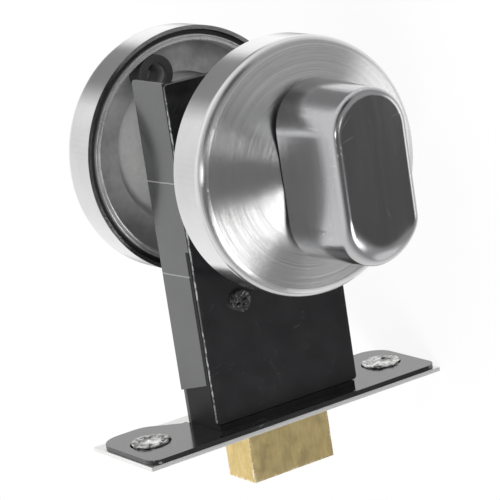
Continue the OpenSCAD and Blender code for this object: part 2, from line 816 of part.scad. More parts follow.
faceplate();
case_base();
case_band();
bolt_guide();
case_cover();
cover_screws();
case_pillars();
spring_posts();
detent_spring();
bolt_head();
bolt_tail();
bolt_rivets();
hub();
crank_pin();
hub_bushes();
spindle();
spindle_pin();
turn_knob();
knob_bush();
knob_washer();
knob_circlip();
turn_rose_cap();
turn_rose_liner();
turn_rose_base();
indicator_rose_cap();
indicator_rose_liner();
indicator_rose_base();
fixing_ferrules();
release_turn();
release_washer();
indicator_disc();
engaged_flag();
vacant_flag();
indicator_window();
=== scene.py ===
"""Looks of a toilet cubicle lock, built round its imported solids.

The lock keeps its own frame: the bolt throws towards -X, the knob faces -Y and +Z is up.
Each sub-assembly is a class that dresses its solids and models the pieces that replace them.
Lengths are in metres.
"""

import logging
import math
from dataclasses import dataclass, field
from enum import Enum
from typing import Callable, Optional, Protocol

import bpy
from mathutils import Matrix, Vector


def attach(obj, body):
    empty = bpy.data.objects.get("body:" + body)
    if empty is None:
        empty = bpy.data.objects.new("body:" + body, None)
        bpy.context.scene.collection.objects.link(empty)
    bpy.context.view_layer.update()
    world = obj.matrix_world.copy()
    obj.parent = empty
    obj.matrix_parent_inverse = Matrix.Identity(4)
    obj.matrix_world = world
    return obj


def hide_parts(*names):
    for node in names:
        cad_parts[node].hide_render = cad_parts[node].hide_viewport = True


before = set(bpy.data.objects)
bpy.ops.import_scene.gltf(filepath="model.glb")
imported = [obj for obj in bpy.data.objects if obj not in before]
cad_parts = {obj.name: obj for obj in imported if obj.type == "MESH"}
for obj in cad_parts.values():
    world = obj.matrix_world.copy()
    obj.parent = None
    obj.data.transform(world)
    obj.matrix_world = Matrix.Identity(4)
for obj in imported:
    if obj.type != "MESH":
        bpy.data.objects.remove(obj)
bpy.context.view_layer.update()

log = logging.getLogger("cubicle_lock")

SPINDLE_X = 0.0605

Socket = bpy.types.NodeSocket
Colour = tuple[float, float, float]
Vec3 = tuple[float, float, float]
Pair = tuple[float, float]


class Slot(Enum):
    """The record's material slots."""

    PLATE = "bright_plate"
    BLACK = "black_steel"
    BAND = "grey_band"
    COVER = "black_cover"
    SCREW = "black_screw"
    ZINC = "zinc_steel"
    SPRING = "spring_steel"
    BRASS = "bolt_brass"
    CAST = "cast_zinc"
    NYLON = "pale_nylon"
    KNOB = "knob_satin"
    ROSE = "rose_satin"
    PLASTIC = "black_plastic"
    DISC = "disc_steel"
    RED = "flag_red"
    GREEN = "flag_green"
    WINDOW = "window_clear"


class Body(Enum):
    """The bodies that pieces ride on."""

    LOCK = "lock"
    TURN = "turn_set"
    BOLT = "bolt_set"


# ---------------------------------------------------------------- material building


class Graph:
    """A small builder over one node tree."""

    def __init__(self, tree: bpy.types.NodeTree) -> None:
        """Takes the tree that nodes are added to."""
        self.tree = tree

    def add(self, kind: str, inputs: Optional[dict] = None, **props: object) -> bpy.types.Node:
        """Adds a node.

        Args:
            kind: The node's type name.
            inputs: Values or sockets by input name or index.
            props: Properties set on the node first.

        Returns:
            The new node.
        """
        node = self.tree.nodes.new(kind)
        for name, value in props.items():
            setattr(node, name, value)
        for key, value in (inputs or {}).items():
            socket = node.inputs[key]
            if isinstance(value, Socket):
                self.tree.links.new(value, socket)
            else:
                socket.default_value = value
        return node

    def math(self, operation: str, a: object, b: object = 0.0, clamp: bool = False) -> Socket:
        """Adds a Math node and returns its output; clamp holds it between 0 and 1."""
        return self.add("ShaderNodeMath", {0: a, 1: b}, operation=operation, use_clamp=clamp).outputs[0]

    def vector(self, operation: str, a: object, b: object = (0.0, 0.0, 0.0)) -> Socket:
        """Adds a Vector Math node and returns its vector output."""
        return self.add("ShaderNodeVectorMath", {0: a, 1: b}, operation=operation).outputs[0]

    def remap(self, value: Socket, low: float, high: float, to_low: object, to_high: object) -> Socket:
        """Maps a range to another, clamped, and returns the result."""
        inputs = {"Value": value, "From Min": low, "From Max": high, "To Min": to_low, "To Max": to_high}
        return self.add("ShaderNodeMapRange", inputs).outputs["Result"]

    def mapping(self, vector: Socket, location: Vec3 = (0, 0, 0), scale: Vec3 = (1, 1, 1),
                rotation: Vec3 = (0, 0, 0)) -> Socket:
        """Adds a Mapping node and returns its vector."""
        inputs = {"Vector": vector, "Location": location, "Rotation": rotation, "Scale": scale}
        return self.add("ShaderNodeMapping", inputs).outputs[0]

    def noise(self, vector: Socket, scale: object, detail: float = 2.0, roughness: float = 0.5) -> Socket:
        """Adds a Noise Texture and returns its value."""
        inputs = {"Vector": vector, "Scale": scale, "Detail": detail, "Roughness": roughness}
        return self.add("ShaderNodeTexNoise", inputs).outputs["Fac"]

    def mix(self, factor: object, a: object, b: object) -> Socket:
        """Mixes two colours.

        Args:
            factor: The share of the second colour, a number or a socket.
            a: The first colour, three numbers or a socket.
            b: The second colour, three numbers or a socket.

        Returns:
            The mixed colour.
        """
        node = self.add("ShaderNodeMix", data_type="RGBA")
        for key, value in ((0, factor), (6, a), (7, b)):
            if isinstance(value, Socket):
                self.tree.links.new(value, node.inputs[key])
            else:
                node.inputs[key].default_value = value if key == 0 else (*value[:3], 1.0)
        return node.outputs[2]


class Effects:
    """Node groups that several finishes share, each built once."""

    made: dict[str, bpy.types.NodeTree] = {}

    @classmethod
    def group(cls, name: str, inputs: dict[str, object], outputs: dict[str, str],
              build: Callable[[Graph, bpy.types.Node], dict[str, Socket]]) -> bpy.types.NodeTree:
        """Makes a group, or returns the one that was made before.

        Args:
            name: The group's name.
            inputs: Default values by input name; None is a vector with no value.
            outputs: Socket types by output name.
            build: Fills the tree and returns the sockets that feed the outputs.

        Returns:
            The group's tree.
        """
        if name in cls.made:
            return cls.made[name]
        tree = bpy.data.node_groups.new(name, "ShaderNodeTree")
        for key, value in inputs.items():
            kind = "NodeSocketVector" if value is None or isinstance(value, tuple) else "NodeSocketFloat"
            made = tree.interface.new_socket(key, in_out="INPUT", socket_type=kind)
            if value is not None:
                made.default_value = value
        for key, kind in outputs.items():
            tree.interface.new_socket(key, in_out="OUTPUT", socket_type=kind)
        entry, leave = tree.nodes.new("NodeGroupInput"), tree.nodes.new("NodeGroupOutput")
        for key, socket in build(Graph(tree), entry).items():
            tree.links.new(socket, leave.inputs[key])
        cls.made[name] = tree
        return tree

    @classmethod
    def scratches(cls) -> bpy.types.NodeTree:
        """Sparse fine scratches in three directions, gathered in patches, as a mask.

        Returns:
            The group's tree.
        """
        turns = (0.45, -0.8, -1.35)
        length = (0.07, 1.0, 1.0)
        patch_scale = 0.03
        ridges, patches, between = (0.79, 0.83), (0.5, 0.62), 0.05

        def build(g: Graph, entry: bpy.types.Node) -> dict[str, Socket]:
            """Lays stretched noise three ways and keeps its highest ridges.

            Args:
                g: A builder over the group's tree.
                entry: The group's input node.

            Returns:
                The socket of each output.
            """
            at, scale = entry.outputs["Vector"], entry.outputs["Scale"]
            patch = g.noise(at, g.math("MULTIPLY", scale, patch_scale), 2.0)
            lines = []
            for turn in turns:
                stretched = g.mapping(g.mapping(at, rotation=(0.0, turn, 0.0)), scale=length)
                lines.append(g.remap(g.noise(stretched, scale, 0.0), *ridges, 0.0, 1.0))
            every = g.math("MAXIMUM", g.math("MAXIMUM", lines[0], lines[1]), lines[2])
            here = g.math("MULTIPLY", every, g.remap(patch, *patches, between, 1.0))
            return {"Mask": g.math("MULTIPLY", here, entry.outputs["Amount"], True)}

        return cls.group("fine_scratches", {"Vector": None, "Scale": 4500.0, "Amount": 1.0},
                         {"Mask": "NodeSocketFloat"}, build)

    @classmethod
    def mottle(cls) -> bpy.types.NodeTree:
        """Soft cloudy variation from 0 to 1.

        Returns:
            The group's tree.
        """

        def build(g: Graph, entry: bpy.types.Node) -> dict[str, Socket]:
            """Spreads noise round its middle value.

            Args:
                g: A builder over the group's tree.
                entry: The group's input node.

            Returns:
                The socket of each output.
            """
            wide = g.noise(entry.outputs["Vector"], entry.outputs["Scale"], 5.0, 0.62)
            low = g.math("SUBTRACT", 0.5, entry.outputs["Spread"])
            high = g.math("ADD", 0.5, entry.outputs["Spread"])
            inputs = {"Value": wide, "From Min": low, "From Max": high}
            return {"Value": g.add("ShaderNodeMapRange", inputs).outputs["Result"]}

        return cls.group("mottle", {"Vector": None, "Scale": 120.0, "Spread": 0.16},
                         {"Value": "NodeSocketFloat"}, build)

    @classmethod
    def brushed(cls) -> bpy.types.NodeTree:
        """Straight grain: the vector comes in stretched, and streaks come out.

        Returns:
            The group's tree.
        """
        fine_share, broad_share = 0.65, 0.35
        broad_scale = (0.2, 0.2, 0.2)
        contrast = (0.34, 0.66)

        def build(g: Graph, entry: bpy.types.Node) -> dict[str, Socket]:
            """Adds a broad grain to a fine one.

            Args:
                g: A builder over the group's tree.
                entry: The group's input node.

            Returns:
                The socket of each output.
            """
            at = entry.outputs["Vector"]
            fine = g.noise(at, 1.0, 4.0, 0.7)
            broad = g.noise(g.mapping(at, scale=broad_scale), 1.0, 2.0, 0.5)
            both = g.math("ADD", g.math("MULTIPLY", fine, fine_share),
                          g.math("MULTIPLY", broad, broad_share))
            return {"Value": g.remap(both, *contrast, 0.0, 1.0)}

        return cls.group("brushed_grain", {"Vector": None}, {"Value": "NodeSocketFloat"}, build)

    @classmethod
    def turned(cls) -> bpy.types.NodeTree:
        """Circular brushing round the Y axis: arc shades, and a normal that leans along the radius.

        Returns:
            The group's tree.
        """
        arc_steps = ((7000.0, 0.6), (13000.0, 1.3))
        line_steps = (61000.0, 87000.0, 73000.0)
        sway_amount = 0.03
        contrast = (0.36, 0.64)

        def build(g: Graph, entry: bpy.types.Node) -> dict[str, Socket]:
            """Shades broken arcs, and throws the normal of each fine line its own way.

            Args:
                g: A builder over the group's tree.
                entry: The group's input node.

            Returns:
                The socket of each output.
            """
            parts = g.add("ShaderNodeSeparateXYZ", {0: entry.outputs["Vector"]}).outputs
            flat = g.add("ShaderNodeCombineXYZ", {0: parts[0], 2: parts[2]}).outputs[0]
            radius = g.add("ShaderNodeVectorMath", {0: flat}, operation="LENGTH").outputs["Value"]
            along = g.vector("NORMALIZE", flat)
            way = g.add("ShaderNodeSeparateXYZ", {0: along}).outputs
            arcs = []
            for pitch, length in arc_steps:
                place = {0: g.math("MULTIPLY", radius, pitch), 1: g.math("MULTIPLY", way[0], length),
                         2: g.math("MULTIPLY", way[2], length)}
                arcs.append(g.noise(g.add("ShaderNodeCombineXYZ", place).outputs[0], 1.0, 1.0))
            both = g.math("ADD", g.math("MULTIPLY", arcs[0], 0.5), g.math("MULTIPLY", arcs[1], 0.5))
            rings = g.remap(both, *contrast, 0.0, 1.0)
            throws = []
            for pitch in line_steps:
                white = g.add("ShaderNodeTexWhiteNoise", {"W": g.math("MULTIPLY", radius, pitch)},
                              noise_dimensions="1D").outputs["Value"]
                throws.append(g.math("SUBTRACT", white, 0.5))
            lean = g.math("MULTIPLY", g.math("ADD", throws[0], throws[1]), entry.outputs["Lean"])
            ringed = g.math("MULTIPLY", g.math("SUBTRACT", rings, 0.5), entry.outputs["Ring Lean"])
            tilt = g.add("ShaderNodeVectorMath", {0: along, "Scale": g.math("ADD", lean, ringed)},
                         operation="SCALE").outputs[0]
            across = g.vector("CROSS_PRODUCT", along, (0.0, 1.0, 0.0))
            sway = g.math("MULTIPLY", throws[2], sway_amount)
            slew = g.add("ShaderNodeVectorMath", {0: across, "Scale": sway}, operation="SCALE").outputs[0]
            normal = g.vector("ADD", g.add("ShaderNodeNewGeometry").outputs["Normal"], tilt)
            return {"Rings": rings, "Normal": g.vector("NORMALIZE", g.vector("ADD", normal, slew))}

        return cls.group("turned_brushing", {"Vector": None, "Lean": 0.25, "Ring Lean": 0.06},
                         {"Rings": "NodeSocketFloat", "Normal": "NodeSocketVector"}, build)


def toned(colour: Colour, factor: float, lift: float = 0.0) -> Colour:
    """Returns a colour times a factor plus a lift, held at 1."""
    return tuple(min(1.0, c * factor + lift) for c in colour)


class Surface:
    """One material under construction: a Principled shader and the helpers that feed it."""

    def __init__(self, name: str, colour: Colour, roughness: float, **constants: object) -> None:
        """Starts a material.

        Args:
            name: The material's name.
            colour: Its plain colour.
            roughness: Its plain roughness.
            constants: Values for other Principled sockets, with _ for a space.
        """
        self.material = bpy.data.materials.new(name)
        self.material.use_nodes = True
        self.graph = Graph(self.material.node_tree)
        self.shader = self.material.node_tree.nodes["Principled BSDF"]
        self.shader.inputs["Base Color"].default_value = (*colour, 1.0)
        self.shader.inputs["Roughness"].default_value = roughness
        for key, value in constants.items():
            self.shader.inputs[key.replace("_", " ")].default_value = value
        self.at = self.graph.add("ShaderNodeTexCoord").outputs["Object"]
        self.roughness = roughness
        self.bump_normal: Optional[Socket] = None

    def feed(self, name: str, socket: Socket) -> None:
        """Links a socket to one of the shader's inputs."""
        self.material.node_tree.links.new(socket, self.shader.inputs[name])

    def effect(self, tree: bpy.types.NodeTree, **inputs: object) -> bpy.types.Node:
        """Places a group.

        Args:
            tree: The group's tree.
            inputs: Values or sockets by input name, with _ for a space.

        Returns:
            The group's node.
        """
        node = self.graph.add("ShaderNodeGroup", node_tree=tree)
        for key, value in inputs.items():
            socket = node.inputs[key.replace("_", " ")]
            if isinstance(value, Socket):
                self.material.node_tree.links.new(value, socket)
            else:
                socket.default_value = value
        return node

    def cloud(self, scale: float, spread: float) -> Socket:
        """Places the mottle and returns its value."""
        return self.effect(Effects.mottle(), Vector=self.at, Scale=scale, Spread=spread).outputs[0]

    def nicks(self, scale: float, amount: float) -> Socket:
        """Places the fine scratches and returns their mask."""
        return self.effect(Effects.scratches(), Vector=self.at, Scale=scale, Amount=amount).outputs[0]

    def grain(self, scale: Vec3) -> Socket:
        """Places the straight grain, stretched by a scale, and returns its value."""
        return self.effect(Effects.brushed(), Vector=self.graph.mapping(self.at, scale=scale)).outputs[0]

    def vary_roughness(self, value: Socket, at_zero: float, at_one: float) -> None:
        """Shifts the plain roughness by one step where a value is 0 and by another where it is 1."""
        low, high = self.roughness + at_zero, self.roughness + at_one
        self.feed("Roughness", self.graph.remap(value, 0.0, 1.0, low, high))

    def bump(self, height: Socket, distance: float) -> None:
        """Adds a Bump node on top of the ones before and feeds the shader's normal.

        Args:
            height: The height that the surface rises by, from 0 to 1.
            distance: The rise in metres at a height of 1.
        """
        inputs = {"Height": height, "Distance": distance, "Strength": 1.0}
        if self.bump_normal is not None:
            inputs["Normal"] = self.bump_normal
        self.bump_normal = self.graph.add("ShaderNodeBump", inputs).outputs[0]
        self.feed("Normal", self.bump_normal)


# ---------------------------------------------------------------- finishes


class Finish(Protocol):
    """What every finish can do."""

    def material(self) -> bpy.types.Material:
        """Returns the finish as a material."""


@dataclass(frozen=True)
class TurnedSteel:
    """Stainless steel brushed in circles about the spindle."""

    name: str
    colour: Colour = (0.60, 0.60, 0.60)
    roughness: float = 0.15
    lean: float = 0.28
    ring_lean: float = 0.03
    shade: float = 0.17
    ring_share: float = 0.7
    cloud_share: float = 0.3
    scratched: Colour = (0.8, 0.8, 0.8)

    def material(self) -> bpy.types.Material:
        """Builds this finish.

        Returns:
            The material.
        """
        s = Surface(self.name, self.colour, self.roughness, Metallic=1.0)
        g = s.graph
        centred = g.mapping(s.at, location=(-SPINDLE_X, 0.0, 0.0))
        brush = s.effect(Effects.turned(), Vector=centred, Lean=self.lean, Ring_Lean=self.ring_lean)
        cloud = s.cloud(scale=90.0, spread=0.2)
        nick = s.nicks(scale=4200.0, amount=0.4)
        tone = g.math("ADD", g.math("MULTIPLY", brush.outputs["Rings"], self.ring_share),
                      g.math("MULTIPLY", cloud, self.cloud_share))
        base = g.mix(tone, toned(self.colour, 1 - self.shade), toned(self.colour, 1 + self.shade))
        s.feed("Base Color", g.mix(nick, base, self.scratched))
        s.vary_roughness(tone, 0.05, -0.04)
        s.feed("Normal", brush.outputs["Normal"])
        return s.material


@dataclass(frozen=True)
class SatinSteel:
    """Smooth satin steel with a straight grain and small scratches."""

    name: str
    colour: Colour = (0.55, 0.55, 0.55)
    roughness: float = 0.28
    grain: Vec3 = (120.0, 120.0, 3500.0)
    shade: float = 0.06
    scratch: float = 0.6
    depth: float = 0.000002
    metallic: float = 1.0
    scratch_scale: float = 4600.0
    scratched: Colour = (0.75, 0.75, 0.75)

    def material(self) -> bpy.types.Material:
        """Builds this finish.

        Returns:
            The material.
        """
        s = Surface(self.name, self.colour, self.roughness, Metallic=self.metallic)
        g = s.graph
        grain = s.grain(self.grain)
        nick = s.nicks(scale=self.scratch_scale, amount=self.scratch)
        base = g.mix(grain, toned(self.colour, 1 - self.shade), toned(self.colour, 1 + self.shade))
        s.feed("Base Color", g.mix(nick, base, self.scratched))
        s.vary_roughness(grain, 0.04, -0.04)
        s.bump(grain, self.depth)
        return s.material


@dataclass(frozen=True)
class BlackCoat:
    """Glossy black or grey coating on steel, with light scuffs.

    The score lines are places along X. Past worn_beyond from the middle plane the coating is
    rubbed through.
    """

    name: str
    colour: Colour = (0.012, 0.012, 0.013)
    roughness: float = 0.12
    ior: float = 1.8
    scuff: float = 0.35
    score_lines: tuple[float, ...] = ()
    worn_beyond: Optional[float] = None
    specks: float = 0.0
    scratched: Colour = (0.55, 0.55, 0.56)

    def scored(self, s: Surface, nick: Socket) -> Socket:
        """Adds the scored lines to the scratches.

        Args:
            s: The material under construction.
            nick: The mask of scratches so far.

        Returns:
            The mask with the lines.
        """
        g = s.graph
        slant, waver_scale, waver_width = 0.03, 260.0, 0.0003
        core, edge, strength = 0.00008, 0.00018, 0.35
        parts = g.add("ShaderNodeSeparateXYZ", {0: s.at}).outputs
        along = g.math("ADD", parts[0], g.math("MULTIPLY", parts[1], slant))
        sway = g.math("SUBTRACT", g.noise(s.at, waver_scale, 2.0), 0.5)
        place = g.math("ADD", along, g.math("MULTIPLY", sway, waver_width))
        for x in self.score_lines:
            gap = g.math("ABSOLUTE", g.math("SUBTRACT", place, x))
            nick = g.math("MAXIMUM", nick, g.remap(gap, core, edge, strength, 0.0))
        return nick

    def worn_edge(self, s: Surface) -> Socket:
        """Marks where the coating is rubbed through along the long edges.

        Args:
            s: The material under construction.

        Returns:
            The mask of the bare metal.
        """
        g = s.graph
        wander, fade, strength = (-0.00006, 0.00012), 0.00006, 0.55
        side = g.math("ABSOLUTE", g.add("ShaderNodeSeparateXYZ", {0: s.at}).outputs[2])
        rub = g.remap(g.noise(s.at, 420.0, 3.0, 0.7), 0.40, 0.62, *wander)
        off = g.math("SUBTRACT", side, rub)
        return g.remap(off, self.worn_beyond, self.worn_beyond + fade, 0.0, strength)

    def material(self) -> bpy.types.Material:
        """Builds this finish.

        Returns:
            The material.
        """
        s = Surface(self.name, self.colour, self.roughness, IOR=self.ior)
        g = s.graph
        cloud = s.cloud(scale=160.0, spread=0.18)
        nick = s.nicks(scale=3800.0, amount=self.scuff)
        if self.score_lines:
            nick = self.scored(s, nick)
        if self.specks:
            grit = g.noise(s.at, 2600.0, 2.0)
            nick = g.math("MAXIMUM", nick, g.remap(grit, 0.60, 0.68, 0.0, self.specks))
        if self.worn_beyond is not None:
            edge = self.worn_edge(s)
            nick = g.math("MAXIMUM", nick, edge)
            s.feed("Metallic", g.math("MULTIPLY", edge, 0.9))
        base = g.mix(cloud, self.colour, toned(self.colour, 1.25, 0.002))
        s.feed("Base Color", g.mix(nick, base, self.scratched))
        s.vary_roughness(cloud, -0.02, 0.05)
        s.bump(g.noise(s.at, 900.0, 3.0), 0.000004)
        return s.material


@dataclass(frozen=True)
class BoltBrass:
    """Dull brass, milled along the throw, with stains and nicks along its edges.

    The middle and half size are the head's, and edge_band is how far from a face its nicks
    start and are full.
    """

    name: str
    colour: Colour = (0.72, 0.57, 0.29)
    dark: Colour = (0.60, 0.47, 0.225)
    light: Colour = (0.84, 0.68, 0.35)
    stain: Colour = (0.48, 0.37, 0.17)
    scratched: Colour = (0.96, 0.86, 0.60)
    edge_tint: tuple[float, ...] = (1.0, 0.82, 0.50, 1.0)
    roughness: float = 0.42
    grain: Vec3 = (420.0, 1900.0, 1900.0)
    middle: Vec3 = (0.0, -0.001435, 0.0)
    half: Vec3 = (0.013, 0.0052, 0.011)
    edge_band: Pair = (0.0007, 0.0002)

    def near_edges(self, s: Surface) -> Socket:
        """Marks the head's edges, where two of its faces are close.

        Args:
            s: The material under construction.

        Returns:
            The mask, 1 beside the edges and 0 elsewhere.
        """
        g = s.graph
        parts = g.add("ShaderNodeSeparateXYZ", {0: s.at}).outputs
        start, full = self.edge_band
        near = None
        for axis in range(3):
            off = g.math("ABSOLUTE", g.math("SUBTRACT", parts[axis], self.middle[axis]))
            close = g.remap(off, self.half[axis] - start, self.half[axis] - full, 0.0, 1.0)
            near = close if near is None else g.math("ADD", near, close)
        return g.math("SUBTRACT", near, 1.0, True)

    def material(self) -> bpy.types.Material:
        """Builds this finish.

        Returns:
            The material.
        """
        s = Surface(self.name, self.colour, self.roughness, Metallic=1.0, Specular_Tint=self.edge_tint)
        g = s.graph
        grain = s.grain(self.grain)
        cloud = s.cloud(scale=330.0, spread=0.2)
        nick = s.nicks(scale=3600.0, amount=0.8)
        chipped = g.remap(g.noise(s.at, 800.0, 3.0, 0.7), 0.50, 0.58, 0.0, 1.0)
        nick = g.math("MAXIMUM", nick, g.math("MULTIPLY", chipped, self.near_edges(s)))
        base = g.mix(grain, self.dark, self.light)
        stained = g.mix(g.math("MULTIPLY", cloud, 0.3), base, self.stain)
        s.feed("Base Color", g.mix(nick, stained, self.scratched))
        s.vary_roughness(cloud, -0.08, 0.1)
        s.bump(grain, 0.000008)
        return s.material


@dataclass(frozen=True)
class CastZinc:
    """Die cast zinc: mottled, dull and faintly uneven."""

    name: str
    colour: Colour = (0.36, 0.36, 0.37)
    roughness: float = 0.38

    def material(self) -> bpy.types.Material:
        """Builds this finish.

        Returns:
            The material.
        """
        s = Surface(self.name, self.colour, self.roughness, Metallic=0.75)
        g = s.graph
        cloud = s.cloud(scale=110.0, spread=0.2)
        speck = g.noise(s.at, 1600.0, 3.0)
        s.feed("Base Color", g.mix(cloud, toned(self.colour, 0.72), toned(self.colour, 1.35)))
        s.vary_roughness(cloud, 0.12, -0.08)
        s.bump(cloud, 0.00006)
        s.bump(speck, 0.000008)
        return s.material


@dataclass(frozen=True)
class Plastic:
    """Moulded plastic with a fine matt grain."""

    name: str
    colour: Colour
    roughness: float = 0.45

    def material(self) -> bpy.types.Material:
        """Builds this finish.

        Returns:
            The material.
        """
        s = Surface(self.name, self.colour, self.roughness)
        g = s.graph
        cloud = s.cloud(scale=200.0, spread=0.25)
        s.feed("Base Color", g.mix(cloud, self.colour, toned(self.colour, 1.2, 0.003)))
        s.vary_roughness(cloud, -0.06, 0.08)
        s.bump(g.noise(s.at, 2600.0, 2.0), 0.000006)
        return s.material


@dataclass(frozen=True)
class Enamel:
    """Thin glossy enamel of one colour."""

    name: str
    colour: Colour
    roughness: float = 0.3

    def material(self) -> bpy.types.Material:
        """Builds this finish.

        Returns:
            The material.
        """
        s = Surface(self.name, self.colour, self.roughness, Coat_Weight=0.3, Coat_Roughness=0.1)
        g = s.graph
        cloud = s.cloud(scale=260.0, spread=0.25)
        s.feed("Base Color", g.mix(cloud, toned(self.colour, 0.88), self.colour))
        s.vary_roughness(cloud, -0.05, 0.06)
        s.bump(g.noise(s.at, 1500.0, 2.0), 0.000003)
        return s.material


@dataclass(frozen=True)
class ClearPlastic:
    """Clear window plastic."""

    name: str
    colour: Colour = (0.93, 0.96, 0.97)
    roughness: float = 0.06
    scratch_step: Pair = (0.05, 0.3)

    def material(self) -> bpy.types.Material:
        """Builds this finish.

        Returns:
            The material.
        """
        s = Surface(self.name, self.colour, self.roughness, IOR=1.49, Transmission_Weight=1.0)
        g = s.graph
        nick = s.nicks(scale=4000.0, amount=0.4)
        s.feed("Roughness", g.remap(nick, 0.0, 1.0, *self.scratch_step))
        s.bump(g.noise(s.at, 300.0, 1.0), 0.000002)
        return s.material


FINISHES: dict[Slot, Finish] = {
    Slot.PLATE: SatinSteel("bright_plate", (0.82, 0.82, 0.81), 0.46, grain=(4500.0, 4500.0, 60.0),
                           shade=0.05, scratch=0.3),
    Slot.BLACK: BlackCoat("black_steel", ior=1.66),
    Slot.BAND: BlackCoat("grey_band", (0.036, 0.037, 0.038), 0.16, ior=1.72, scuff=0.06,
                         score_lines=(0.0588, 0.0375)),
    Slot.COVER: BlackCoat("black_cover", (0.010, 0.010, 0.011), 0.16, ior=1.6, scuff=0.025,
                          worn_beyond=0.01926),
    Slot.SCREW: BlackCoat("black_screw", (0.014, 0.014, 0.015), 0.2, ior=1.9, scuff=0.9, specks=0.5),
    Slot.ZINC: SatinSteel("zinc_steel", (0.50, 0.51, 0.52), 0.3, grain=(400.0, 900.0, 900.0),
                          shade=0.12, scratch=0.4),
    Slot.SPRING: SatinSteel("spring_steel", (0.34, 0.34, 0.35), 0.25, grain=(200.0, 1500.0, 1500.0),
                            shade=0.1, scratch=0.3),
    Slot.BRASS: BoltBrass("bolt_brass"),
    Slot.CAST: CastZinc("cast_zinc", (0.60, 0.60, 0.61), 0.5),
    Slot.NYLON: Plastic("pale_nylon", (0.72, 0.69, 0.60), 0.5),
    Slot.KNOB: SatinSteel("knob_satin", (0.45, 0.45, 0.46), 0.17, grain=(90.0, 3000.0, 3000.0),
                          shade=0.02, scratch=0.9, scratch_scale=2300.0),
    Slot.ROSE: TurnedSteel("rose_satin"),
    # Black for the rose liners and the knob's bush: partly their own colour, partly painted shade that
    # darkens the gaps round the rims and under the knob.
    Slot.PLASTIC: Plastic("black_plastic", (0.012, 0.012, 0.013), 0.4),
    Slot.DISC: SatinSteel("disc_steel", (0.60, 0.60, 0.60), 0.45, grain=(700.0, 700.0, 700.0),
                          shade=0.08, scratch=0.5, metallic=0.4),
    Slot.RED: Enamel("flag_red", (0.50, 0.03, 0.02)),
    Slot.GREEN: Enamel("flag_green", (0.03, 0.27, 0.07)),
    Slot.WINDOW: ClearPlastic("window_clear"),
}


class Extra(Enum):
    """Finishes of small features that share a slot with the piece they belong to."""

    BURST = "burst_rim_metal"
    BEAD = "rolled_rim_metal"
    GUIDE = "guide_black"
    SLEEVE = "sleeve_grey"


EXTRAS: dict[Extra, Finish] = {
    Extra.BURST: SatinSteel("burst_rim_metal", (0.46, 0.46, 0.455), 0.24, grain=(900.0, 900.0, 900.0),
                            shade=0.5, scratch=0.2, depth=0.00002),
    Extra.BEAD: SatinSteel("rolled_rim_metal", (0.80, 0.80, 0.80), 0.3, grain=(1500.0, 1500.0, 1500.0),
                           shade=0.3, scratch=0.2, depth=0.00001),
    Extra.GUIDE: BlackCoat("guide_black", (0.010, 0.010, 0.010), 0.42, ior=1.22, scuff=0.05),
    Extra.SLEEVE: Plastic("sleeve_grey", (0.034, 0.034, 0.035), 0.5),
}


class Paintbox:
    """Makes each finish once and hands it out."""

    made: dict[Enum, bpy.types.Material] = {}

    @classmethod
    def get(cls, finish: Enum) -> bpy.types.Material:
        """Gives a finish's material, made on its first use.

        Args:
            finish: A slot or a small feature.

        Returns:
            The material.
        """
        if finish not in cls.made:
            source = FINISHES if isinstance(finish, Slot) else EXTRAS
            cls.made[finish] = source[finish].material()
        return cls.made[finish]

    @classmethod
    def dress(cls, obj: bpy.types.Object, finish: Enum) -> None:
        """Gives an object the material of a slot or of a small feature, and no other."""
        obj.data.materials.clear()
        obj.data.materials.append(cls.get(finish))


# ---------------------------------------------------------------- modelling helpers


@dataclass(frozen=True)
class Edging:
    """How a solid is replaced by a copy with rounded edges.

    Attributes:
        slot: The copy's material slot.
        width: The bevel's width.
        segments: The bevel's segments.
        finish: A finish of its own, where it doesn't have the slot's.
    """

    slot: Slot
    width: float
    segments: int = 2
    finish: Optional[Extra] = None


